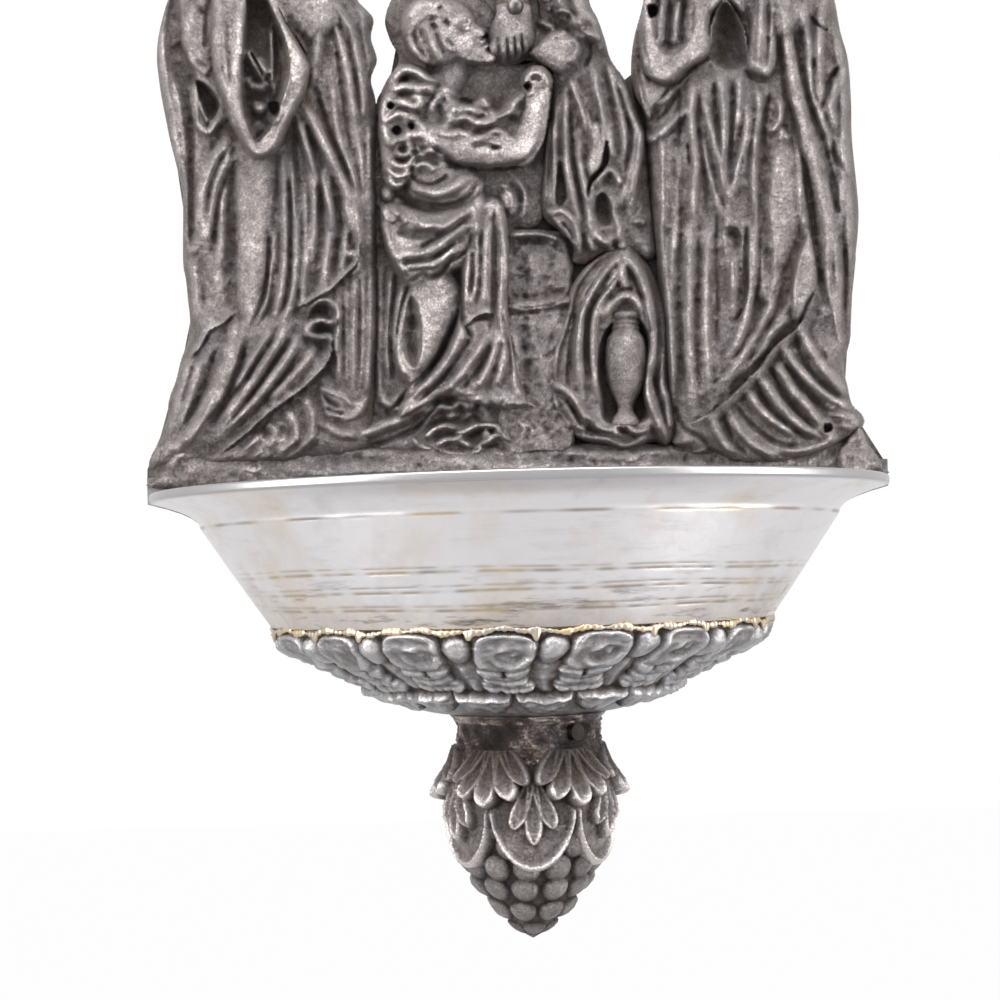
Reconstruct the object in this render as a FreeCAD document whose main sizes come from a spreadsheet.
"""Silver holy water stoup for a wall: a half-round bowl under a cast crucifixion group.

Frame: the wall is the plane y = 0, the stoup stands out from it towards -Y, +Z is up and
+X is to the right of someone facing it. The origin is on the wall, at the middle of the
bowl's rim. All lengths are millimetres.
"""
import FreeCAD
import Part

import math
import os

import Sketcher

SIZES = [
    # alias, value, what it is
    ("grid_square", 1.6, "side of one square of the modeller's squared sheet"),
    ("sheet_turn", 1.48, "turn of the squared sheet against the rim, degrees"),
    ("sheet_middle_u", -0.25, "square on the sheet that lies over the rim's middle"),
    ("sheet_middle_v", -0.75, "square on the sheet that lies over the rim's line"),
    ("sheet_metal", 1.2, "thickness of the two back sheets"),
    ("sheet_seam", 3.0, "height over the rim of the seam between the two back sheets"),
    ("rim_half_width", 59.0, "half width of the bowl at its rim"),
    ("rim_depth", 48.0, "reach of the rim from the wall"),
    ("rim_edge", 1.3, "height of the rim's square edge"),
    ("throat_half_width", 50.6, "half width under the flared lip"),
    ("throat_depth", 43.0, "reach under the flared lip"),
    ("throat_level", 5.4, "drop from the rim to under the lip"),
    ("seam_half_width", 39.7, "half width where the bowl meets its ornamental cap"),
    ("seam_depth", 38.5, "reach at that seam"),
    ("seam_level", 21.3, "drop from the rim to that seam"),
    ("bowl_wall", 1.2, "thickness of the bowl's sheet"),
    ("bowl_floor", 31.0, "drop from the rim to the underside of the bowl's floor"),
    ("groove_depth", 0.35, "depth of each engraved line"),
    ("groove_width", 0.7, "height of each engraved line"),
    ("groove_first", 13.2, "drop from the rim to the first engraved line"),
    ("groove_pitch", 2.55, "distance between the engraved lines"),
    ("cap_wall", 1.5, "thickness of the cap casting"),
    ("cap_seat_gap", 0.15, "solder gap between bowl and cap"),
    ("cap_shoulder_half_width", 38.4, "half width at the cap's shoulder"),
    ("cap_shoulder_depth", 38.0, "reach at the cap's shoulder"),
    ("cap_shoulder_level", 24.2, "drop from the rim to the cap's shoulder"),
    ("cap_foot_half_width", 18.5, "half width at the cap's foot"),
    ("cap_foot_depth", 30.0, "reach at the cap's foot"),
    ("cap_foot_level", 34.5, "drop from the rim to the cap's foot"),
    ("finial_axis", 17.5, "distance from the wall to the finial's axis"),
    ("stud_radius", 2.5, "radius of the stud under the bowl"),
    ("stud_length", 14.0, "length of that stud"),
    ("stud_clearance", 0.05, "radial clearance round the stud"),
    ("neck_flange_radius", 13.4, "radius of the neck's top flange"),
    ("neck_radius", 11.2, "radius of the neck's waist"),
    ("neck_waist", 2.4, "drop from the cap to the neck's waist"),
    ("neck_length", 6.0, "length of the neck"),
    ("neck_pin_radius", 1.2, "radius of the pin through the neck"),
    ("neck_pin_turn", 36.0, "turn of that pin to the right, degrees"),
    ("neck_pin_head", 0.5, "height of the pin's head over the neck"),
    ("calyx_length", 9.5, "length of the leaf calyx"),
    ("calyx_radius", 12.6, "radius of the calyx under its leaves"),
    ("leaf_reach", 3.0, "how far the leaf tips stand out of the calyx"),
    ("leaf_count", 6, "leaves round the calyx"),
    ("cluster_length", 18.4, "length of the berry cluster"),
    ("cluster_radius", 10.0, "radius of the cluster's core at its top"),
    ("berry_radius", 2.0, "radius of the largest berries"),
    ("berry_rows", 5, "rows of berries"),
    ("berries_round", 10, "berries in the top row"),
    ("casting_back", 3.2, "thickness of the figures' background web"),
    ("carver_step", 1.0, "one step of the carver's scale for depths and limbs"),
    ("halo_radius", 7.84, "radius of the kneeling figure's halo"),
    ("halo_thickness", 2.0, "thickness of that halo"),
    ("head_height", 6.0, "distance of the heads' middle from the wall"),
    ("head_radius", 5.8, "radius of the heads in their veils"),
    ("head_half_length", 7.4, "half height of the heads in their veils"),
    ("shaft_width", 10.2, "width of the upright of the cross"),
    ("shaft_thickness", 3.0, "thickness of the upright and the beam"),
    ("cross_middle", 1.0, "distance of the cross to the right of the rim's middle"),
    ("shaft_foot", 67.0, "height of the upright's foot over the rim"),
    ("shaft_head", 172.4, "height of the upright's head over the rim"),
    ("beam_width", 9.0, "width of the crossbeam"),
    ("beam_half_length", 50.0, "half length of the crossbeam"),
    ("beam_middle", 154.8, "height of the beam's middle line over the rim"),
    ("joint_clearance", 0.05, "clearance in the halved joint of the cross"),
    ("nail_radius", 0.6, "radius of a nail's shank"),
    ("nail_head_radius", 1.3, "radius of a nail's round head"),
    ("nail_clearance", 0.02, "radial clearance round a nail"),
    ("nail_point", 0.4, "distance of a nail's or pin's point from the back of the cross"),
    ("feet_nail", 73.4, "height over the rim of the nail through the feet"),
    ("hand_spread", 43.0, "distance of each hand from the cross's middle line"),
    ("loincloth_height", 7.6, "how far the loincloth stands out from the cross"),
    ("title_width", 11.0, "width of the blank title plate"),
    ("title_height", 6.5, "height of the title plate"),
    ("title_thickness", 1.0, "thickness of the title plate"),
    ("title_middle", 166.6, "height of the title plate's middle over the rim"),
    ("title_pin_radius", 0.5, "radius of the title plate's two pins"),
    ("title_pin_spacing", 7.4, "distance between those pins"),
    ("eye_thickness", 2.4, "thickness of the hanger eye"),
    ("eye_height", 3.2, "height of the eye's hole over the upright"),
    ("eye_hole_radius", 1.35, "radius of the eye's hole"),
    ("eye_rim", 1.5, "metal round the eye's hole"),
    ("eye_from_wall", 3.1, "distance from the wall to the eye's hole"),
    ("ring_radius", 7.0, "radius of the hanging ring to its wire's middle"),
    ("ring_wire_radius", 1.1, "radius of the ring's wire"),
    ("ring_wall_gap", 0.3, "gap between the resting ring and the wall"),
    ("step_upper_height", 6.0, "how far the upper block stands out"),
    ("step_lower_height", 7.6, "how far the lower block stands out"),
    ("jar_radius", 3.1, "greatest radius of the ointment jar"),
    ("jar_neck_radius", 2.2, "radius of the jar's neck"),
    ("jar_waist_radius", 1.9, "radius of the jar's waist"),
    ("jar_foot_radius", 3.3, "radius of the jar's foot"),
    ("jar_length", 17.6, "height of the jar"),
    ("jar_from_wall", 6.4, "distance from the wall to the jar's axis"),
    ("jar_room", 0.1, "room between the jar and its tent of cloth"),
    ("tent_height", 8.6, "how far the tent of cloth stands out"),
    ("tent_hollow", 2.2, "distance from the wall to the bottom of the tent's opening"),
    ("ledge_depth", 8.0, "how far the ground ledge stands out from the wall"),
    ("ledge_top", 3.4, "square at the top of the ground ledge"),
]

document = FreeCAD.newDocument("holy_water_stoup")
sheet = document.addObject("Spreadsheet::Sheet", "Sizes")
for row, (alias, value, meaning) in enumerate(SIZES, start=1):
    sheet.set("A%d" % row, meaning)
    sheet.set("B%d" % row, str(value))
    sheet.setAlias("B%d" % row, alias)
document.recompute()

made = {}


def size(alias):
    """The value of one named cell of the sheet."""
    return float(getattr(sheet, alias))


# ---------------------------------------------------------------- the squared sheet

def on_sheet(u, v, height=0.0):
    """Point at square (u, v) of the squared sheet, height millimetres out from the wall."""
    turn = math.radians(size("sheet_turn"))
    across = (u - size("sheet_middle_u")) * size("grid_square")
    up = (v - size("sheet_middle_v")) * size("grid_square")
    x = across * math.cos(turn) + up * math.sin(turn)
    z = up * math.cos(turn) - across * math.sin(turn)
    return FreeCAD.Vector(x, -height, z)


def beside_rim(side, inward, v):
    """Point (u, v) of the squared sheet, counted in squares inward from the rim's end on one side."""
    reach = size("rim_half_width") / size("grid_square") - inward
    return size("sheet_middle_u") + side * reach, v


def steps(count):
    """Length of a number of steps on the carver's scale."""
    return count * size("carver_step")


def pad(points, low, high):
    """Raised form on the sheet with a smooth outline, its back at low and its face at high."""
    return smooth_plate([on_sheet(u, v, low) for u, v in points], high - low)


def slab(points, low, high):
    """Raised form on the sheet with straight sides."""
    corners = [on_sheet(u, v, low) for u, v in points]
    return Part.Face(Part.makePolygon(corners + corners[:1])).extrude(FreeCAD.Vector(0, low - high, 0))


def head(u, v, lean):
    """Egg of a bowed head on the sheet, in its veil."""
    middle = on_sheet(u, v, size("head_height"))
    return egg(middle, size("head_radius"), size("head_half_length"), lean)


def clasped_hands(u, v, lean):
    """Two hands laid together, standing out of a casting."""
    return egg(on_sheet(u, v, steps(7.0)), steps(3.2), steps(5.8), lean)


def smooth_plate(corners, height):
    """Flat form of this height, standing out from a smooth closed line through the corners."""
    curve = Part.BSplineCurve()
    curve.interpolate(Points=corners, PeriodicFlag=True)
    return Part.Face(Part.Wire([curve.toShape()])).extrude(FreeCAD.Vector(0, -height, 0))


def egg(middle, radius, half_length, lean=0.0):
    """Half egg facing away from the wall on a straight stem back to it, leaning right by lean degrees."""
    top = FreeCAD.Vector(0, 0, half_length)
    oval = Part.Ellipse(top, FreeCAD.Vector(radius, 0, 0), FreeCAD.Vector())
    side = Part.ArcOfEllipse(oval, 0, math.pi).toShape()
    axis = Part.LineSegment(-top, top).toShape()
    dome = Part.Face(Part.Wire([side, axis])).revolve(FreeCAD.Vector(), FreeCAD.Vector(0, 0, -1), 180)
    stem = Part.Face(Part.Wire([oval.toShape()])).extrude(FreeCAD.Vector(0, -middle.y, 0))
    form = dome.fuse(stem)
    form.rotate(FreeCAD.Vector(), FreeCAD.Vector(0, 1, 0), lean)
    form.translate(middle)
    return form


def limb(first, last, start_radius, end_radius):
    """Round limb between two points, with ball ends."""
    axis = last - first
    balls = [Part.makeSphere(start_radius, first), Part.makeSphere(end_radius, last)]
    if abs(start_radius - end_radius) < 1e-6:
        return balls[0].fuse(balls[1:] + [Part.makeCylinder(start_radius, axis.Length, first, axis)])
    return balls[0].fuse(balls[1:] + [Part.makeCone(start_radius, end_radius, axis.Length, first, axis)])


def in_front_of(height):
    """Half space ahead of the given distance from the wall."""
    reach = 400.0
    corner = FreeCAD.Vector(-reach, -reach - height, -reach)
    return Part.makeBox(2 * reach, reach, 2 * reach, corner)


def everything_below(level):
    """Half space under a level."""
    reach = 400.0
    return Part.makeBox(2 * reach, 2 * reach, reach, FreeCAD.Vector(-reach, -reach, level - reach))


def largest(shape):
    """The one solid that is left when the offcuts are filed away."""
    return max(shape.Solids, key=lambda solid: solid.Volume)


def feature(label, shape):
    """Put a finished shape into the document under its label."""
    item = document.addObject("Part::Feature", label)
    item.Label = label
    item.Shape = shape
    item.Placement = FreeCAD.Placement()
    made[label] = item
    return item


def casting(label, forms, clear_of=()):
    """One casting of several fused forms, fitted against the castings named."""
    shape = forms[0].fuse(forms[1:])
    shape = shape.common(in_front_of(size("sheet_metal")))
    for other in clear_of:
        shape = shape.cut(made[other].Shape)
    shape = largest(shape.removeSplitter())
    return feature(label, shape)


# ---------------------------------------------------------------- sketches and bodies

def plane_of(body, role):
    """Origin plane or axis of a body, by its role."""
    return next(item for item in body.Origin.OriginFeatures if item.Role == role)


def new_body(label):
    """Empty PartDesign body with its label."""
    body = document.addObject("PartDesign::Body", label)
    body.Label = label
    made[label] = body
    return body


def outline_sketch(body, name, role, corners):
    """Closed straight-sided sketch; each corner is a pair of formulas on the sheet."""
    sketch = body.newObject("Sketcher::SketchObject", name)
    sketch.AttachmentSupport = [(plane_of(body, role), "")]
    sketch.MapMode = "FlatFace"
    count = len(corners)
    start = [
        FreeCAD.Vector(20 + 10 * math.cos(2 * math.pi * i / count), 10 * math.sin(2 * math.pi * i / count), 0)
        for i in range(count)
    ]
    for i in range(count):
        sketch.addGeometry(Part.LineSegment(start[i], start[(i + 1) % count]), False)
    for i in range(count):
        sketch.addConstraint(Sketcher.Constraint("Coincident", i, 2, (i + 1) % count, 1))
    for i, (across, up) in enumerate(corners):
        for kind, formula in (("DistanceX", across), ("DistanceY", up)):
            place = sketch.addConstraint(Sketcher.Constraint(kind, -1, 1, i, 1, 1.0))
            sketch.setExpression("Constraints[%d]" % place, formula)
    return sketch


def turned_body(label, corners):
    """Body turned about its own upright axis from a half profile of (radius, height)."""
    body = new_body(label)
    sketch = outline_sketch(body, label + "_profile", "XZ_Plane", corners)
    turning = body.newObject("PartDesign::Revolution", label + "_turning")
    turning.Profile = sketch
    turning.ReferenceAxis = (sketch, ["V_Axis"])
    turning.Angle = 360
    body.Tip = turning
    return body


def place(item, x=None, y=None, z=None):
    """Bind the place of an object to formulas on the sheet."""
    for name, formula in (("x", x), ("y", y), ("z", z)):
        if formula:
            item.setExpression(".Placement.Base." + name, formula)


# ---------------------------------------------------------------- the bowl

def d_section(half_width, depth, level, back):
    """Half-ellipse section, flat towards the wall at distance back, as a closed wire."""
    steps = 16
    cut = math.asin(min(0.9, back / depth))
    angles = [cut + (math.pi - 2 * cut) * i / steps for i in range(steps + 1)]
    points = [
        FreeCAD.Vector(half_width * math.cos(a), -depth * math.sin(a), -level) for a in angles
    ]
    curve = Part.BSplineCurve()
    curve.interpolate(Points=points)
    chord = Part.LineSegment(points[-1], points[0])
    return Part.Wire([curve.toShape(), chord.toShape()])


def d_solid(sections, inset=0.0, back=0.0):
    """Solid through (level, half width, depth) sections, drawn in by inset all round."""
    wires = [d_section(wide - inset, deep - inset, level, back) for level, wide, deep in sections]
    return Part.makeLoft(wires, True, True)


def between(first, last, share):
    """Value a share of the way from first to last."""
    return first + (last - first) * share


def lip_sections():
    """The flared lip: a square edge, then a hollow curve in to the throat."""
    top = size("rim_edge")
    drop = size("throat_level") - top
    sections = [
        (0.0, size("rim_half_width"), size("rim_depth")),
        (top, size("rim_half_width"), size("rim_depth")),
    ]
    steps = 5
    for i in range(1, steps + 1):
        share = 1 - (1 - i / steps) ** 2
        level = top + drop * i / steps
        sections.append((
            level,
            between(size("rim_half_width"), size("throat_half_width"), share),
            between(size("rim_depth"), size("throat_depth"), share),
        ))
    return sections


def cone_at(level):
    """Half width and depth of the bowl's plain cone at a drop below the rim."""
    share = (level - size("throat_level")) / (size("seam_level") - size("throat_level"))
    wide = between(size("throat_half_width"), size("seam_half_width"), share)
    deep = between(size("throat_depth"), size("seam_depth"), share)
    return level, wide, deep


def cap_at(level):
    """Half width and depth of the cap's outside at a drop below the rim."""
    shoulder = size("cap_shoulder_level")
    if level <= shoulder:
        share = (level - size("seam_level")) / (shoulder - size("seam_level"))
        wide = between(size("seam_half_width"), size("cap_shoulder_half_width"), share)
        deep = between(size("seam_depth"), size("cap_shoulder_depth"), share)
        return level, wide, deep
    share = (level - shoulder) / (size("cap_foot_level") - shoulder)
    wide = between(size("cap_shoulder_half_width"), size("cap_foot_half_width"), share)
    deep = between(size("cap_shoulder_depth"), size("cap_foot_depth"), share)
    return level, wide, deep


def cap_inside(level, extra):
    """Half width and depth of the cap's inside, less an extra clearance."""
    _, wide, deep = cap_at(level)
    gap = size("cap_wall") + extra
    return level, wide - gap, deep - gap


def bowl_sections():
    """Outside of the bowl from its rim to its floor, with the three engraved lines."""
    sections = lip_sections()
    cut = size("groove_depth")
    half = size("groove_width") / 2
    for i in range(3):
        middle = size("groove_first") + i * size("groove_pitch")
        sections.append(cone_at(middle - half))
        level, wide, deep = cone_at(middle)
        sections.append((level, wide - cut, deep - cut))
        sections.append(cone_at(middle + half))
    sections.append(cone_at(size("seam_level")))
    return sections


def bowl_stub_sections():
    """The part of the bowl that is hidden in the cap."""
    gap = size("cap_seat_gap")
    levels = [size("seam_level"), size("cap_shoulder_level"), size("bowl_floor")]
    return [cap_inside(level, gap) for level in levels]


def build_bowl():
    """The half-round bowl, hollow, closed at its floor and open to its flat back sheet."""
    wall = size("bowl_wall")
    back = size("sheet_metal")
    outside = d_solid(bowl_sections(), back=back).fuse(d_solid(bowl_stub_sections(), back=back))
    stub = bowl_stub_sections()
    seam_level, stub_wide, stub_deep = stub[0]
    above_seam = (seam_level - wall, stub_wide + wall, stub_deep + wall)
    floor = cap_inside(size("bowl_floor") - wall, size("cap_seat_gap"))
    hollow = lip_sections() + [above_seam, stub[0], stub[1], floor]
    inside = d_solid(hollow, inset=wall)
    feature("bowl_shell", largest(outside.cut(inside).common(in_front_of(back))))


def build_basin_back():
    """Flat sheet that closes the bowl and its cap against the wall."""
    back = size("sheet_metal")
    sections = lip_sections()
    sections += [cone_at(size("seam_level")), cap_at(size("cap_shoulder_level"))]
    sections += [cap_at(size("cap_foot_level"))]
    corners = [FreeCAD.Vector(wide, 0, -level) for level, wide, _ in sections]
    corners += [FreeCAD.Vector(-corner.x, 0, corner.z) for corner in reversed(corners)]
    corners[:1] = [FreeCAD.Vector(size("rim_half_width"), 0, size("sheet_seam"))]
    corners[-1:] = [FreeCAD.Vector(-size("rim_half_width"), 0, size("sheet_seam"))]
    outline = Part.Face(Part.makePolygon(corners + corners[:1]))
    feature("basin_back", outline.extrude(FreeCAD.Vector(0, -back, 0)))


def build_cap():
    """Hollow ornamental cap under the bowl, with a floor that the stud passes through."""
    back = size("sheet_metal")
    wall = size("cap_wall")
    levels = [size("seam_level"), size("cap_shoulder_level"), size("cap_foot_level")]
    outside = d_solid([cap_at(level) for level in levels], back=back)
    floor = size("cap_foot_level") - wall
    hollow_levels = [size("seam_level"), size("cap_shoulder_level"), floor]
    inside = d_solid([cap_inside(level, 0.0) for level in hollow_levels])
    shape = outside.cut(inside).common(in_front_of(back))
    hole = Part.makeCylinder(
        size("stud_radius") + size("stud_clearance"),
        3 * wall,
        FreeCAD.Vector(0, -size("finial_axis"), -size("cap_foot_level") - wall),
    )
    feature("calotte", largest(shape.cut(hole)))


# ---------------------------------------------------------------- the finial

def build_stud():
    """Stud soldered under the bowl's floor; it passes through the cap into the neck."""
    body = turned_body("bowl_stud", [
        ("0", "0"),
        ("Sizes.stud_radius", "0"),
        ("Sizes.stud_radius", "-Sizes.stud_length"),
        ("0", "-Sizes.stud_length"),
    ])
    place(body, y="-Sizes.finial_axis", z="-Sizes.bowl_floor")


def build_neck():
    """Turned neck between the cap and the leaf calyx, bored for the stud."""
    bore = "Sizes.stud_radius + Sizes.stud_clearance"
    body = turned_body("finial_neck", [
        (bore, "0"),
        ("Sizes.neck_flange_radius", "0"),
        ("Sizes.neck_radius", "-Sizes.neck_waist"),
        ("Sizes.calyx_radius", "-Sizes.neck_length"),
        (bore, "-Sizes.neck_length"),
    ])
    place(body, y="-Sizes.finial_axis", z="-Sizes.cap_foot_level")
    body.Label = "neck_turning"
    cut_away("finial_neck", body, [tool("neck_pin_hole", pin_shape(size("nail_clearance")))])


def tool(label, shape):
    """Helper shape that is a tool of another object and isn't a piece."""
    item = document.addObject("Part::Feature", label)
    item.Label = label
    item.Shape = shape
    return item


def pin_shape(clearance=0.0):
    """Pin driven through the neck's wall up to the stud, with a low round head."""
    turn = math.radians(size("neck_pin_turn"))
    out = FreeCAD.Vector(math.sin(turn), -math.cos(turn), 0)
    level = -(size("cap_foot_level") + size("neck_waist"))
    axis = FreeCAD.Vector(0, -size("finial_axis"), level)
    start = size("stud_radius") + size("stud_clearance")
    end = size("neck_radius") + size("neck_pin_head")
    return Part.makeCylinder(size("neck_pin_radius") + clearance, end - start, axis + out * start, out)


def build_calyx():
    """Crown of leaves under the neck, bored for the stud's end."""
    top = size("cap_foot_level") + size("neck_length")
    length = size("calyx_length")
    radius = size("calyx_radius")
    axis = FreeCAD.Vector(0, -size("finial_axis"), -top)
    down = FreeCAD.Vector(0, 0, -1)
    core = Part.makeCone(radius, radius + size("leaf_reach") / 2, length, axis, down)
    tips = []
    count = int(size("leaf_count"))
    for i in range(count):
        angle = 2 * math.pi * (i + 0.5) / count
        out = FreeCAD.Vector(math.sin(angle), -math.cos(angle), 0)
        tip = Part.makeSphere(size("leaf_reach"), axis + out * radius + down * (length - size("leaf_reach")))
        tips.append(tip)
    shape = core.fuse(tips)
    bore_length = size("bowl_floor") + size("stud_length") - top + size("stud_clearance")
    if bore_length > 0:
        bore = Part.makeCylinder(size("stud_radius") + size("stud_clearance"), bore_length, axis, down)
        shape = shape.cut(bore)
    feature("leaf_calyx", largest(shape))


def cluster_top():
    """Level of the cluster's flat top, under the calyx."""
    return size("cap_foot_level") + size("neck_length") + size("calyx_length")


def cluster_radius_at(share):
    """Radius of the cluster's core a share of the way down: full at the top, round to a point."""
    return size("cluster_radius") * (1 - share ** 1.8) ** 0.75


def cluster_core():
    """Core of the berry cluster, turned about the finial's axis."""
    length = size("cluster_length") - size("berry_radius")
    steps = 8
    curve_points = []
    for i in range(steps + 1):
        share = i / steps
        curve_points.append(FreeCAD.Vector(cluster_radius_at(share), 0, -length * share))
    curve = Part.BSplineCurve()
    curve.interpolate(Points=curve_points)
    top = Part.LineSegment(FreeCAD.Vector(), curve_points[0]).toShape()
    axis = Part.LineSegment(curve_points[-1], FreeCAD.Vector()).toShape()
    face = Part.Face(Part.Wire([top, curve.toShape(), axis]))
    core = face.revolve(FreeCAD.Vector(), FreeCAD.Vector(0, 0, 1), 360)
    core.translate(FreeCAD.Vector(0, -size("finial_axis"), -cluster_top()))
    return core


def build_cluster():
    """Cluster of berries: rows of balls round a pointed core, with one at the tip."""
    rows = int(size("berry_rows"))
    length = size("cluster_length") - size("berry_radius")
    axis = FreeCAD.Vector(0, -size("finial_axis"), -cluster_top())
    balls = []
    for row in range(rows):
        share = (row + 0.5) / rows
        radius = cluster_radius_at(share)
        berry = size("berry_radius") * between(1.0, 0.8, share)
        count = max(3, round(size("berries_round") * radius / size("cluster_radius")))
        for i in range(count):
            angle = 2 * math.pi * (i + 0.5 * (row % 2)) / count
            out = FreeCAD.Vector(math.sin(angle), -math.cos(angle), 0)
            balls.append(Part.makeSphere(berry, axis + out * radius + FreeCAD.Vector(0, 0, -length * share)))
    balls.append(Part.makeSphere(size("berry_radius"), axis + FreeCAD.Vector(0, 0, -length)))
    shape = cluster_core().fuse(balls)
    under = everything_below(-cluster_top())
    feature("berry_cluster", largest(shape.common(under)))


# ---------------------------------------------------------------- the figures

PLATE_OUTLINE = [
    (-36.0, 3.6), (-34.8, 8.0), (-33.6, 12.0), (-32.8, 16.0), (-33.4, 26.0),
    (-34.6, 34.0), (-35.2, 40.0), (-33.5, 45.0), (-17.5, 45.0), (-15.2, 38.4), (-14.3, 37.4), (-13.2, 38.6),
    (-12.0, 45.0), (6.5, 45.0), (9.4, 40.6), (10.4, 39.8), (11.4, 40.6), (12.6, 45.0), (30.5, 45.0),
    (32.2, 39.0), (33.3, 28.0), (33.4, 22.0), (32.6, 14.0), (32.3, 9.0), (33.6, 6.0),
]


def build_backing_plate():
    """Thin sheet behind the figures, cut to their outline and ending on the rim's line."""
    right_end = [beside_rim(1, 0.2, 1.6), beside_rim(1, 0.0, -3.0)]
    left_end = [beside_rim(-1, 0.0, -3.0), beside_rim(-1, 0.0, 1.0)]
    plate = slab(PLATE_OUTLINE + right_end + left_end, 0.0, size("sheet_metal"))
    feature("backing_plate", largest(plate.cut(everything_below(size("sheet_seam")))))


def build_left_mourner():
    """Standing mourner on the left: veil, hanging sleeve, mantle and clasped hands."""
    back = size("sheet_metal")
    web = back + size("casting_back")
    forms = [
        pad([(-36.6, 2.0), (-35.1, 8.0), (-33.6, 12.5), (-33.0, 17.0), (-33.7, 24.0), (-34.2, 31.0), (-35.5, 36.5),
             (-36.2, 42.0), (-35.6, 47.0), (-33.6, 51.5), (-31.4, 55.5), (-31.0, 61.0), (-28.8, 66.0), (-25.2, 66.0),
             (-23.4, 61.5), (-22.6, 57.6), (-19.6, 56.4), (-17.6, 52.0), (-15.6, 47.0), (-14.6, 42.0),
             (-14.5, 36.0), (-14.6, 20.0), (-15.4, 8.0), (-17.6, 3.6), (-26.0, 2.2)], back, web),
        pad([(-35.2, 3.6), (-33.8, 9.0), (-32.4, 13.0), (-32.1, 18.0), (-32.8, 25.0), (-33.0, 31.0), (-34.2, 37.0),
             (-35.0, 42.0), (-34.4, 47.0), (-32.2, 52.0), (-29.8, 55.6), (-24.0, 56.0), (-20.6, 54.2), (-17.4, 49.5),
             (-15.9, 46.0), (-15.5, 42.0), (-15.7, 36.0), (-15.7, 20.0), (-16.4, 9.0), (-18.4, 4.4), (-26.0, 3.2)],
            web, steps(7.0)),
        pad([(-31.2, 50.0), (-31.0, 43.0), (-29.6, 37.5), (-28.0, 33.6), (-26.0, 31.9), (-23.8, 33.5), (-22.3, 37.0),
             (-21.2, 40.6), (-22.4, 44.4), (-24.2, 48.5), (-25.6, 48.6), (-23.6, 43.6), (-23.4, 39.4), (-24.6, 35.6),
             (-26.2, 34.0), (-27.5, 36.4), (-28.0, 41.0), (-27.4, 49.4)], web, steps(10.4)),
        pad([(-28.4, 33.4), (-31.0, 32.2), (-32.3, 28.0), (-32.3, 24.8), (-31.2, 24.6), (-30.6, 28.0),
             (-29.4, 31.0)], web, steps(8.6)),
        pad([(-21.8, 38.0), (-19.8, 34.6), (-17.9, 30.6), (-16.8, 25.6), (-16.0, 24.0), (-16.4, 29.4), (-18.4, 33.8),
             (-20.4, 38.0)], web, steps(8.8)),
        pad([(-28.0, 16.6), (-28.4, 12.4), (-30.6, 7.6), (-33.4, 4.0), (-34.2, 4.8), (-32.0, 8.8), (-29.9, 12.8),
             (-29.0, 16.4)], web, steps(9.0)),
        pad([(-18.9, 15.0), (-18.8, 12.6), (-20.3, 10.4), (-24.0, 7.4), (-29.0, 3.6), (-29.8, 4.6), (-25.0, 8.8),
             (-21.6, 11.8), (-20.2, 14.6)], web, steps(9.0)),
        pad([(-27.6, 19.0), (-28.2, 25.0), (-27.0, 31.4), (-25.2, 30.0), (-25.2, 22.0), (-26.0, 17.6)], web, steps(9.2)),
        pad([(-35.0, 45.0), (-32.8, 50.5), (-29.4, 55.0), (-24.0, 56.0), (-22.4, 50.0), (-27.0, 46.0)], web, steps(8.2)),
        head(-27.4, 61.4, -8.0),
        clasped_hands(-21.1, 53.0, 12.0),
    ]
    casting("left_mourner", forms)


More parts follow.
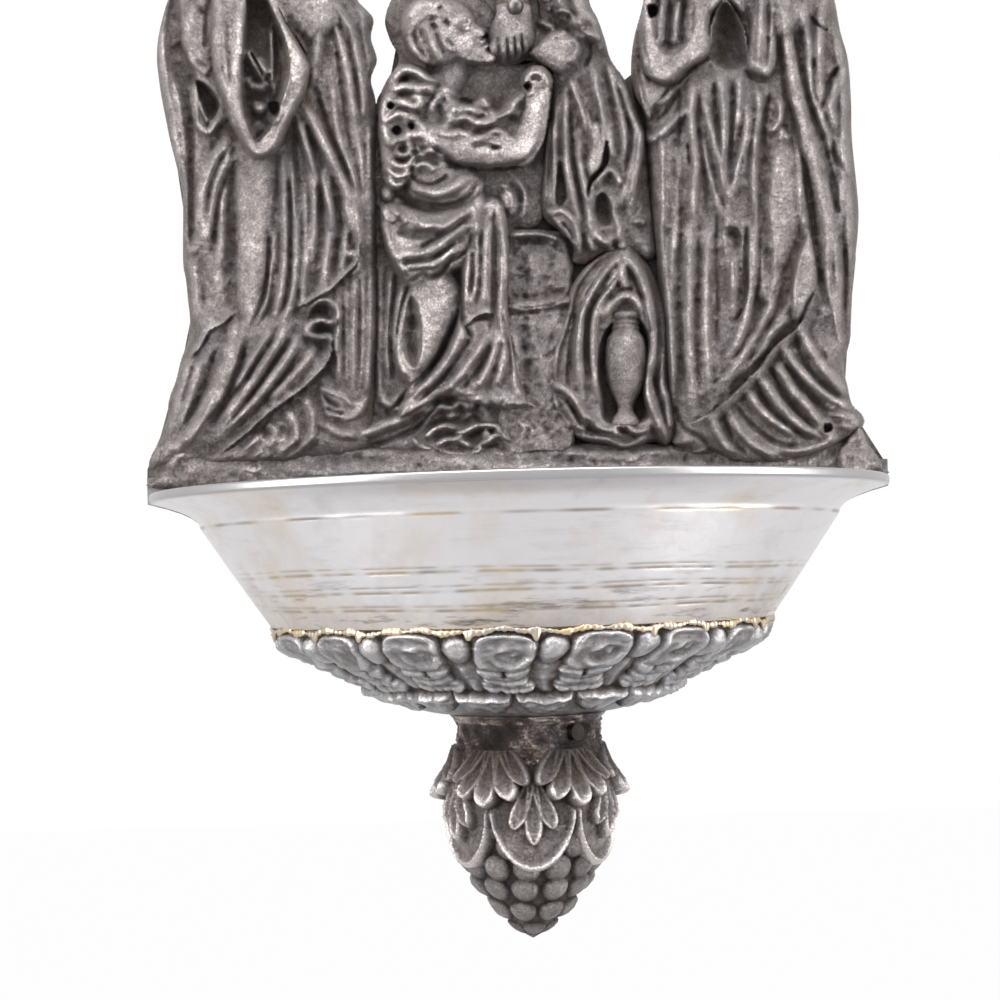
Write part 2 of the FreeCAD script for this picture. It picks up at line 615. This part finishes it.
def build_right_mourner():
    """Standing mourner on the right, with two hanging sleeves and a crossing mantle."""
    back = size("sheet_metal")
    web = back + size("casting_back")
    forms = [
        pad([(12.2, 47.5), (11.2, 43.0), (11.2, 38.5), (12.6, 34.2), (13.2, 28.0), (13.6, 20.0), (14.6, 10.0),
             (16.0, 5.0), (21.0, 2.0), (29.0, 1.8), (34.0, 4.4), (33.4, 7.4), (32.8, 12.0), (33.4, 19.0),
             (33.8, 25.0), (33.2, 33.0), (32.4, 41.0), (31.4, 47.5), (29.0, 52.6), (26.4, 56.4), (26.0, 62.0),
             (22.8, 66.6), (19.0, 65.0), (17.6, 60.5), (17.4, 55.6), (14.6, 52.0)], back, web),
        pad([(13.1, 47.0), (12.4, 43.0), (12.4, 38.8), (13.6, 34.6), (14.2, 28.0), (14.6, 20.0), (15.5, 10.0),
             (16.9, 6.0), (21.4, 3.2), (28.6, 3.0), (32.8, 5.2), (32.0, 8.0), (31.4, 12.0), (32.0, 19.0),
             (32.6, 25.0), (32.0, 33.0), (31.4, 41.0), (30.4, 47.0), (28.0, 52.0), (25.6, 55.2), (18.2, 55.0),
             (15.4, 51.2)], web, steps(7.2)),
        pad([(26.0, 47.0), (26.4, 43.0), (27.4, 38.0), (28.8, 33.0), (29.9, 28.0), (30.3, 23.6), (31.5, 23.6),
             (31.3, 28.6), (30.1, 33.8), (28.6, 38.6), (27.6, 43.0), (27.2, 47.0)], web, steps(9.2)),
        pad([(30.0, 19.4), (28.2, 15.8), (24.6, 12.0), (20.6, 7.8), (17.4, 6.0), (17.2, 7.0), (20.0, 9.4),
             (23.6, 13.2), (26.8, 17.0), (28.8, 20.0)], web, steps(9.2)),
        pad([(28.7, 24.6), (27.2, 20.0), (27.4, 16.2), (29.2, 17.8), (29.6, 22.0)], web, steps(9.6)),
        pad([(27.6, 14.4), (29.8, 11.4), (32.6, 8.4), (32.9, 7.2), (30.0, 9.0), (26.8, 12.2)], web, steps(9.0)),
        pad([(12.4, 46.0), (12.0, 42.6), (13.6, 40.2), (16.2, 40.2), (18.8, 42.6), (19.8, 46.6), (18.4, 50.4),
             (14.6, 50.0)], web, steps(10.2)),
        pad([(23.0, 42.0), (25.6, 40.6), (27.6, 44.6), (27.4, 49.4), (23.2, 51.0), (21.4, 47.0)], web, steps(9.6)),
        pad([(24.4, 24.0), (25.0, 32.4), (26.8, 33.0), (27.8, 27.0), (26.8, 21.0)], web, steps(9.4)),
        pad([(14.4, 50.0), (17.4, 55.6), (26.6, 55.6), (30.4, 48.6), (27.0, 46.0), (18.0, 47.0)], web, steps(8.2)),
        head(21.3, 61.4, 8.0),
        clasped_hands(20.2, 51.6, 0.0),
    ]
    casting("right_mourner", forms)


def build_kneeling_mourner():
    """Kneeling figure beside the cross, with a halo, long hair and one raised arm."""
    back = size("sheet_metal")
    web = back + size("casting_back")
    forms = [
        pad([(-14.0, 38.6), (-11.2, 42.4), (-5.0, 41.6), (-2.0, 36.0), (1.0, 36.2), (1.4, 41.0), (3.2, 40.6),
             (3.2, 37.0), (1.6, 33.0), (-1.0, 30.6), (-1.4, 20.0), (0.2, 12.0), (1.8, 7.0), (1.0, 3.6), (-6.0, 2.6),
             (-13.0, 3.4), (-14.4, 12.0), (-14.2, 26.0)], back, web),
        pad([(-13.4, 36.0), (-12.0, 40.6), (-7.0, 40.0), (-4.4, 34.0), (-6.0, 29.0), (-10.0, 27.6), (-13.0, 30.0)],
            web, steps(9.4)),
        pad([(-9.6, 35.6), (-6.0, 33.2), (-1.6, 33.6), (0.8, 37.0), (1.6, 40.6), (3.0, 39.6), (2.6, 35.6), (0.8, 32.4),
             (-3.0, 31.4), (-7.4, 32.4)], web, steps(11.4)),
        pad([(-13.4, 26.0), (-9.6, 29.6), (-4.6, 29.4), (-2.2, 26.0), (-3.0, 16.0), (-6.0, 11.0), (-11.0, 9.6),
             (-10.6, 19.0)], web, steps(9.8)),
        pad([(-13.6, 5.4), (-9.8, 6.6), (-4.0, 13.4), (-1.0, 12.0), (0.4, 7.2), (-4.0, 5.8), (-9.0, 3.4)], web, steps(8.4)),
        egg(on_sheet(-7.4, 44.8, steps(5.6)), steps(6.3), steps(6.8), 70.0),
    ]
    halo_middle = on_sheet(-8.6, 45.4, back)
    out = FreeCAD.Vector(0, -1, 0)
    forms.append(Part.makeCylinder(size("halo_radius"), size("halo_thickness"), halo_middle, out))
    casting("kneeling_mourner", forms, clear_of=("left_mourner",))


def build_veiled_mourner():
    """Veiled figure bowed over the foot of the cross, with a mantle hanging from the head."""
    back = size("sheet_metal")
    web = back + size("casting_back")
    forms = [
        pad([(2.8, 26.6), (2.4, 34.0), (3.2, 41.0), (3.4, 46.0), (2.8, 50.6), (4.6, 53.6), (6.4, 50.6), (8.2, 45.0),
             (10.6, 39.6), (12.2, 35.2), (11.0, 30.0), (10.4, 25.0), (8.8, 22.8), (5.6, 22.6)], back, web),
        pad([(3.4, 28.0), (3.6, 38.0), (6.0, 43.6), (8.4, 41.0), (11.2, 35.0), (10.0, 29.0), (7.4, 25.6),
             (5.6, 24.0)], web, steps(7.4)),
        egg(on_sheet(4.9, 47.8, steps(5.9)), steps(4.5), steps(7.2), -10.0),
        egg(on_sheet(4.4, 42.6, steps(7.0)), steps(3.0), steps(4.2), 70.0),
    ]
    casting("veiled_mourner", forms, clear_of=("left_mourner", "right_mourner", "kneeling_mourner"))


def build_steps():
    """Two stacked blocks under the foot of the cross."""
    back = size("sheet_metal")
    lower = slab([(-2.0, 3.0), (-2.0, 17.6), (5.4, 18.0), (5.4, 3.0)], back, size("step_lower_height"))
    upper = slab([(-1.6, 17.4), (-1.6, 25.0), (5.0, 25.0), (5.4, 17.4)], back, size("step_upper_height"))
    others = ("kneeling_mourner", "veiled_mourner")
    casting("calvary_steps", [lower, upper], clear_of=others)


def jar_place():
    """Foot of the ointment jar on its axis."""
    return on_sheet(10.55, 5.4, size("jar_from_wall"))


def build_jar():
    """Ointment jar standing in its tent of cloth."""
    body = turned_body("ointment_jar", [
        ("0", "0"),
        ("Sizes.jar_foot_radius", "0"),
        ("Sizes.jar_waist_radius", "Sizes.jar_length * 0.14"),
        ("Sizes.jar_radius * 0.94", "Sizes.jar_length * 0.36"),
        ("Sizes.jar_radius", "Sizes.jar_length * 0.62"),
        ("Sizes.jar_radius * 0.94", "Sizes.jar_length * 0.8"),
        ("Sizes.jar_neck_radius", "Sizes.jar_length * 0.86"),
        ("Sizes.jar_neck_radius * 1.25", "Sizes.jar_length"),
        ("0", "Sizes.jar_length"),
    ])
    foot = jar_place()
    body.Placement = FreeCAD.Placement(foot, FreeCAD.Rotation(FreeCAD.Vector(0, 1, 0), size("sheet_turn")))
    document.recompute()


def build_jar_drapery():
    """Cloth spread like a tent over the jar, with an arched opening in front of it."""
    back = size("sheet_metal")
    jar = made["ointment_jar"].Shape
    tent = pad([(9.8, 23.4), (7.0, 21.0), (4.6, 16.0), (3.2, 11.0), (3.0, 7.0), (5.0, 4.6), (8.0, 3.4), (11.0, 3.0),
                (14.4, 3.4), (15.4, 7.0), (14.8, 12.0), (14.0, 18.0), (12.0, 21.6)], back, size("tent_height"))
    opening = pad([(8.0, 5.6), (7.6, 11.0), (8.6, 15.2), (10.6, 16.4), (12.8, 15.2), (13.4, 11.0), (13.0, 5.6)],
                  size("tent_hollow"), 2 * size("tent_height"))
    radius = size("jar_foot_radius") + size("jar_room")
    room = Part.makeCylinder(radius, size("jar_length"), jar_place(), jar_up())
    shape = tent.cut(opening).cut(room).cut(jar)
    for other in ("left_mourner", "right_mourner", "kneeling_mourner", "veiled_mourner", "calvary_steps"):
        shape = shape.cut(made[other].Shape)
    feature("jar_drapery", largest(shape))


def jar_up():
    """Direction of the jar's axis, upright on the squared sheet."""
    up = on_sheet(0, 1) - on_sheet(0, 0)
    return up.normalize()


def build_ledge():
    """Rough strip of ground that the group stands on."""
    back = size("sheet_metal")
    top = size("ledge_top")
    left_end = [beside_rim(-1, 0.2, -3.0), beside_rim(-1, 0.2, 1.4), beside_rim(-1, 7.0, top)]
    right_end = [beside_rim(1, 7.0, top), beside_rim(1, 2.0, top - 1.0), beside_rim(1, 0.2, 1.2),
                 beside_rim(1, 0.2, -3.0)]
    strip = slab(left_end + right_end, back, size("ledge_depth"))
    shape = strip.cut(everything_below(0.0))
    for other in ("left_mourner", "right_mourner", "kneeling_mourner", "calvary_steps", "jar_drapery",
                  "ointment_jar"):
        shape = shape.cut(made[other].Shape)
    feature("ground_ledge", largest(shape))


# ---------------------------------------------------------------- the cross

def box(name, place_at, lengths):
    """Straight block; its place and its lengths along X, Y and Z are formulas."""
    item = document.addObject("Part::Box", name)
    for side, formula in zip(("Length", "Width", "Height"), lengths):
        item.setExpression(side, formula)
    place(item, *place_at)
    return item


def pin(name, radius, length, place_at):
    """Round pin standing out from the wall; its sizes and place are formulas."""
    item = document.addObject("Part::Cylinder", name)
    item.setExpression("Radius", radius)
    item.setExpression("Height", length)
    item.Placement = FreeCAD.Placement(FreeCAD.Vector(), FreeCAD.Rotation(FreeCAD.Vector(1, 0, 0), 90))
    place(item, *place_at)
    return item


def cut_away(label, base, tools):
    """The base less its tools, as the piece with this label."""
    cutter = tools[0]
    if len(tools) > 1:
        cutter = document.addObject("Part::MultiFuse", label + "_tools")
        cutter.Shapes = tools
    item = document.addObject("Part::Cut", label)
    item.Label = label
    item.Base = base
    item.Tool = cutter
    document.recompute()
    made[label] = item
    return item


def on_cross(across, up, height):
    """Point on the cross: millimetres from its middle line, over the rim, and from the wall."""
    return FreeCAD.Vector(size("cross_middle") + across, -height, up)


def nail_shape(across, up, reach, clearance=0.0):
    """Round-headed nail from the front into the cross; reach is its head's distance from the wall."""
    back = size("sheet_metal") + size("nail_point")
    out = FreeCAD.Vector(0, -1, 0)
    shank = Part.makeCylinder(size("nail_radius") + clearance, reach - back, on_cross(across, up, back), out)
    head = Part.makeSphere(size("nail_head_radius") + clearance, on_cross(across, up, reach))
    return shank.fuse(head)


def nail_places():
    """Place of the three nails: across, up and reach from the wall."""
    face = size("sheet_metal") + size("shaft_thickness")
    hands = size("beam_middle") + steps(2.2)
    return [
        (steps(0.2), size("feet_nail"), face + steps(6.4)),
        (-size("hand_spread"), hands, face + steps(3.4)),
        (size("hand_spread"), hands, face + steps(3.4)),
    ]


def build_cross():
    """Upright and crossbeam, halved into each other."""
    front = "-(Sizes.sheet_metal + Sizes.shaft_thickness)"
    middle = "-(Sizes.sheet_metal + Sizes.shaft_thickness / 2)"
    upright = box(
        "upright_bar",
        ("Sizes.cross_middle - Sizes.shaft_width / 2", front, "Sizes.shaft_foot"),
        ("Sizes.shaft_width", "Sizes.shaft_thickness", "Sizes.shaft_head - Sizes.shaft_foot"),
    )
    upright_notch = box(
        "upright_notch",
        ("Sizes.cross_middle - Sizes.shaft_width", front,
         "Sizes.beam_middle - Sizes.beam_width / 2 - Sizes.joint_clearance"),
        ("2 * Sizes.shaft_width", "Sizes.shaft_thickness / 2", "Sizes.beam_width + 2 * Sizes.joint_clearance"),
    )
    beam = box(
        "beam_bar",
        ("Sizes.cross_middle - Sizes.beam_half_length", front, "Sizes.beam_middle - Sizes.beam_width / 2"),
        ("2 * Sizes.beam_half_length", "Sizes.shaft_thickness", "Sizes.beam_width"),
    )
    beam_notch = box(
        "beam_notch",
        ("Sizes.cross_middle - Sizes.shaft_width / 2 - Sizes.joint_clearance", middle,
         "Sizes.beam_middle - Sizes.beam_width"),
        ("Sizes.shaft_width + 2 * Sizes.joint_clearance", "Sizes.shaft_thickness", "2 * Sizes.beam_width"),
    )
    holes = [nail_shape(*spot, size("nail_clearance")) for spot in nail_places()]
    nail_holes = tool("nail_holes", Part.makeCompound(holes))
    neighbours = [made[name] for name in ("kneeling_mourner", "veiled_mourner", "calvary_steps")]
    cut_away("cross_shaft", upright, [upright_notch, nail_holes, made["title_pins"], *neighbours])
    cut_away("cross_beam", beam, [beam_notch, nail_holes])


def on_corpus(across, up, out):
    """Point of the figure on the carver's scale: from its middle line, the feet's nail and the cross."""
    face = size("sheet_metal") + size("shaft_thickness")
    return on_cross(steps(across), size("feet_nail") + steps(up), face + steps(out))


def under_beam(across, up, out):
    """Point of the figure on the carver's scale, counted up from the beam's middle line."""
    face = size("sheet_metal") + size("shaft_thickness")
    return on_cross(steps(across), size("beam_middle") + steps(up), face + steps(out))


def at_hand(side, inward, up, out):
    """Point by one hand: steps inward from the hand's nail and up from the beam's middle line."""
    point = under_beam(0.0, up, out)
    return point + FreeCAD.Vector(side * (size("hand_spread") - steps(inward)), 0, 0)


def corpus_leg(side):
    """Thigh and shin of one leg; the left foot lies in front."""
    lead = 0.5 if side < 0 else 0.0
    hip = on_corpus(0.2 + side * 2.9, 40.0, 2.8)
    knee = on_corpus(0.2 + side * 2.3, 20.6, 5.2 + lead)
    ankle = on_corpus(0.6 + side * 0.9, 0.4, 2.2 + lead)
    return [limb(hip, knee, steps(4.3), steps(3.1)), limb(knee, ankle, steps(3.1), steps(1.9))]


def corpus_arm(side):
    """Upper arm, forearm and hand of one arm."""
    shoulder = under_beam(side * 6.8, -13.6, 2.6)
    wrist = at_hand(side, 2.0, 1.6, 1.5)
    palm = at_hand(side, -0.6, 2.3, 1.3)
    elbow = under_beam(0.0, -6.4, 2.4) + FreeCAD.Vector(side * size("hand_spread") * 0.58, 0, 0)
    return [
        limb(shoulder, elbow, steps(2.7), steps(1.9)),
        limb(elbow, wrist, steps(1.9), steps(1.3)),
        limb(wrist, palm, steps(1.3), steps(1.7)),
    ]


def corpus_feet():
    """The two feet, one laid over the other."""
    return [
        limb(on_corpus(-0.9, 0.0, 2.6), on_corpus(-1.4, -4.6, 3.2), steps(2.2), steps(2.5)),
        limb(on_corpus(1.4, 0.6, 1.6), on_corpus(1.6, -4.0, 2.6), steps(1.8), steps(2.1)),
    ]


def build_corpus():
    """The crucified figure: head bowed, arms out, loincloth, one foot over the other."""
    cloth = [(-7.6, 46.8), (-9.0, 37.0), (-6.4, 28.6), (0.6, 31.0), (6.6, 28.0), (10.0, 31.6), (12.6, 26.4),
             (13.4, 41.0), (8.4, 47.6), (0.6, 45.4)]
    waist = [on_corpus(across, up, 0.0) for across, up in cloth]
    forms = corpus_feet()
    for side in (-1, 1):
        forms += corpus_leg(side) + corpus_arm(side)
    forms += [
        egg(under_beam(0.3, -22.4, -0.6), steps(7.8), steps(13.4)),
        egg(on_corpus(0.2, 42.6, 0.4), steps(7.0), steps(7.4)),
        limb(under_beam(0.0, -11.8, 3.0), under_beam(-0.6, -7.2, 4.0), steps(2.4), steps(2.3)),
        egg(under_beam(-1.2, -3.2, 4.9), steps(4.7), steps(6.7), 12.0),
        smooth_plate(waist, size("loincloth_height")),
    ]
    face = size("sheet_metal") + size("shaft_thickness")
    shape = forms[0].fuse(forms[1:]).common(in_front_of(face))
    for spot in nail_places():
        shape = shape.cut(nail_shape(*spot, size("nail_clearance")))
    for other in ("kneeling_mourner", "veiled_mourner"):
        shape = shape.cut(made[other].Shape)
    feature("corpus", largest(shape))


def build_nails():
    """Three nails, one through each hand and one through the feet."""
    feature("corpus_nails", Part.makeCompound([nail_shape(*spot) for spot in nail_places()]))


def build_title():
    """Blank title plate at the head of the cross, held by two pins."""
    face = "Sizes.sheet_metal + Sizes.shaft_thickness"
    plate = box(
        "title_blank",
        ("Sizes.cross_middle - Sizes.title_width / 2", "-(" + face + " + Sizes.title_thickness)",
         "Sizes.title_middle - Sizes.title_height / 2"),
        ("Sizes.title_width", "Sizes.title_thickness", "Sizes.title_height"),
    )
    length = "Sizes.shaft_thickness + Sizes.title_thickness"
    start = "-(Sizes.sheet_metal + Sizes.nail_point)"
    pins = [
        pin("title_pin_left", "Sizes.title_pin_radius", length,
            ("Sizes.cross_middle - Sizes.title_pin_spacing / 2", start, "Sizes.title_middle")),
        pin("title_pin_right", "Sizes.title_pin_radius", length,
            ("Sizes.cross_middle + Sizes.title_pin_spacing / 2", start, "Sizes.title_middle")),
    ]
    both = document.addObject("Part::Compound", "title_pins")
    both.Label = "title_pins"
    both.Links = pins
    made["title_pins"] = both
    cut_away("title_plate", plate, [both])


# ---------------------------------------------------------------- the hanger

def eye_place():
    """Middle of the eye's hole."""
    return on_cross(0.0, size("shaft_head") + size("eye_height"), size("eye_from_wall"))


def build_eye():
    """Hanger eye brazed on the head of the upright, its hole lying across."""
    outer = "Sizes.eye_hole_radius + Sizes.eye_rim"
    left = "Sizes.cross_middle - Sizes.eye_thickness / 2"
    level = "Sizes.shaft_head + Sizes.eye_height"
    knuckle = document.addObject("Part::Cylinder", "eye_knuckle")
    knuckle.setExpression("Radius", outer)
    knuckle.setExpression("Height", "Sizes.eye_thickness")
    hole = document.addObject("Part::Cylinder", "eye_hole")
    hole.setExpression("Radius", "Sizes.eye_hole_radius")
    hole.setExpression("Height", "Sizes.eye_thickness")
    for item in (knuckle, hole):
        item.Placement = FreeCAD.Placement(FreeCAD.Vector(), FreeCAD.Rotation(FreeCAD.Vector(0, 1, 0), 90))
        place(item, left, "-Sizes.eye_from_wall", level)
    root = box(
        "eye_root",
        (left, "-(Sizes.eye_from_wall + " + outer + ")", "Sizes.shaft_head"),
        ("Sizes.eye_thickness", "2 * (" + outer + ")", "Sizes.eye_height"),
    )
    whole = document.addObject("Part::MultiFuse", "eye_blank")
    whole.Shapes = [knuckle, root]
    cut_away("hanger_eye", whole, [hole])


def build_ring():
    """Round wire ring through the eye, leaning back on the wall."""
    radius = size("ring_radius")
    room = size("eye_from_wall") - size("ring_wire_radius") - size("ring_wall_gap")
    lean = math.asin(room / (2 * radius))
    ring = document.addObject("Part::Torus", "hanging_ring")
    ring.Label = "hanging_ring"
    ring.setExpression("Radius1", "Sizes.ring_radius")
    ring.setExpression("Radius2", "Sizes.ring_wire_radius")
    middle = eye_place() + FreeCAD.Vector(0, radius * math.sin(lean), radius * math.cos(lean))
    turn = FreeCAD.Rotation(FreeCAD.Vector(1, 0, 0), 90 - math.degrees(lean))
    ring.Placement = FreeCAD.Placement(middle, turn)
    made["hanging_ring"] = ring


# ---------------------------------------------------------------- all together

def build_all():
    """Build every piece in the order in which one is fitted to another."""
    build_bowl()
    build_basin_back()
    build_cap()
    build_stud()
    build_neck()
    build_calyx()
    build_cluster()
    feature("neck_pin", pin_shape())
    build_backing_plate()
    build_left_mourner()
    build_right_mourner()
    build_kneeling_mourner()
    build_veiled_mourner()
    build_steps()
    build_jar()
    build_jar_drapery()
    build_ledge()
    build_title()
    build_cross()
    build_corpus()
    build_nails()
    build_eye()
    build_ring()
    document.recompute()


def write_parts():
    """Check every object and write each piece to its own STEP file."""
    for item in document.Objects:
        if "Invalid" in item.State or "Error" in item.State:
            raise RuntimeError("failed object: " + item.Label)
    os.makedirs("parts", exist_ok=True)
    for label, item in made.items():
        shape = item.Shape
        if shape.isNull() or not shape.isValid() or not shape.Solids:
            raise RuntimeError("bad shape: " + label)
        shape.exportStep(os.path.join("parts", label + ".step"))
        print("%-18s %2d solid(s) %10.1f mm3" % (label, len(shape.Solids), shape.Volume))


build_all()
write_parts()
